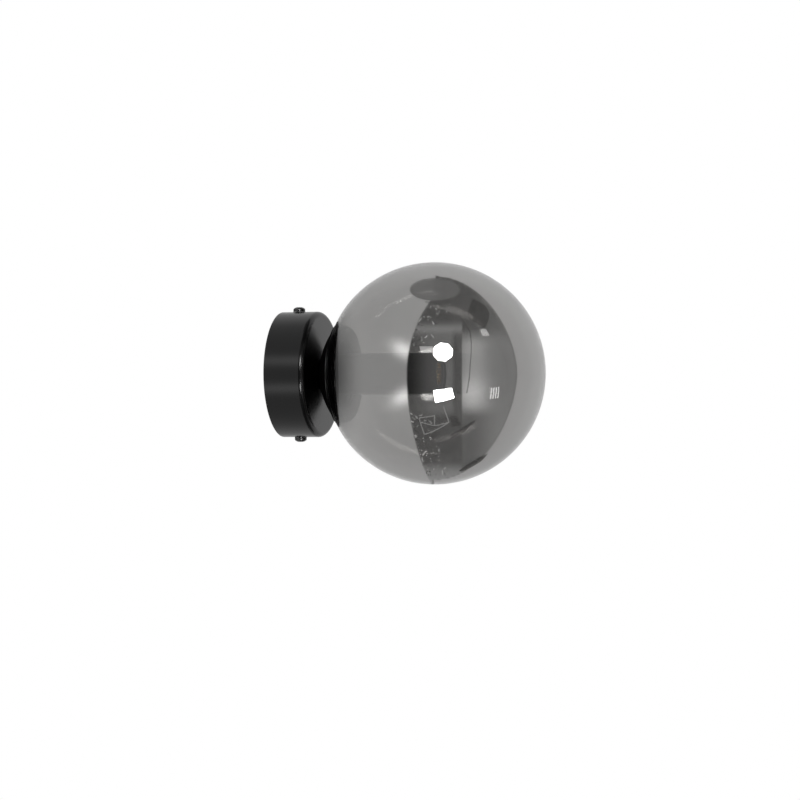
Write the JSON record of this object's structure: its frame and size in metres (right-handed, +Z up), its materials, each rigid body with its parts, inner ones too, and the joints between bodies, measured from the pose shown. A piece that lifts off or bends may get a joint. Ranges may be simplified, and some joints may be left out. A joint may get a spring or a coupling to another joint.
{
  "type": "globe wall sconce",
  "caption": "Wall light with a round black canopy, a small dish and a round smoked-glass globe that unscrews from its carrier to reach the lampholder.",
  "frame": {"origin": "on the wall, at the centre of the canopy's back", "axes": "-Y out of the wall, +Z up, +X to the right of someone who faces the wall"},
  "size_m": [0.14, 0.17, 0.14],
  "materials": {
    "canopy_black": "satin powder coat",
    "dish_black": "satin powder coat",
    "screw_black": "black oxide, slightly glossy",
    "smoked_glass": "smoked, half-mirror coating inside",
    "sleeve_black": "smooth satin",
    "core_black": "moulded thermoset",
    "contact_brass": "rolled brass",
    "zinc_steel": "zinc plated",
    "carrier_black": "black coat",
    "seal_clear": "dark silicone",
    "block_white": "natural nylon",
    "wire_brown": "insulated wire",
    "wire_blue": "insulated wire",
    "wire_green": "insulated wire"
  },
  "bodies": {
    "root": {"canopy": "canopy_black", "globe_dish": "dish_black", "candle_sleeve": "sleeve_black", "lampholder_core": "core_black", "lamp_shell": "contact_brass", "live_contact": "contact_brass", "neutral_contact": "contact_brass", "terminal_tubes": "contact_brass", "wall_bracket": "zinc_steel", "rear_locknut": "zinc_steel", "rear_washer": "zinc_steel", "front_locknut": "zinc_steel", "holder_stirrup": "zinc_steel", "nipple": "zinc_steel", "dish_spacer": "zinc_steel", "terminal_screws": "zinc_steel", "block_screw": "zinc_steel", "holder_screws": "zinc_steel", "earth_screw": "zinc_steel", "earth_tag": "zinc_steel", "globe_carrier": "carrier_black", "terminal_block": "block_white", "live_wire": "wire_brown", "neutral_wire": "wire_blue", "earth_wire": "wire_green"},
    "globe_slide": {"glass_seal": "seal_clear"},
    "globe": {"globe_ring": "carrier_black", "glass_globe": "smoked_glass"},
    "top_screw": {"top_cover_screw": "screw_black"},
    "bottom_screw": {"bottom_cover_screw": "screw_black"}
  },
  "joints": [
    {"name": "globe_pull_off", "type": "slide", "parent": "root", "child": "globe_slide", "axis": [0, -1, 0], "range_m": [0, 0.09]},
    {"name": "globe_turn", "type": "hinge", "parent": "globe_slide", "child": "globe", "pos_m": [0, -0.037, 0], "axis": [0, -1, 0], "range_deg": [0, 540]},
    {"name": "top_screw_out", "type": "slide", "parent": "root", "child": "top_screw", "axis": [0, 0, 1], "range_m": [0, 0.009]},
    {"name": "bottom_screw_out", "type": "slide", "parent": "root", "child": "bottom_screw", "axis": [0, 0, -1], "range_m": [0, 0.009]}
  ]
}
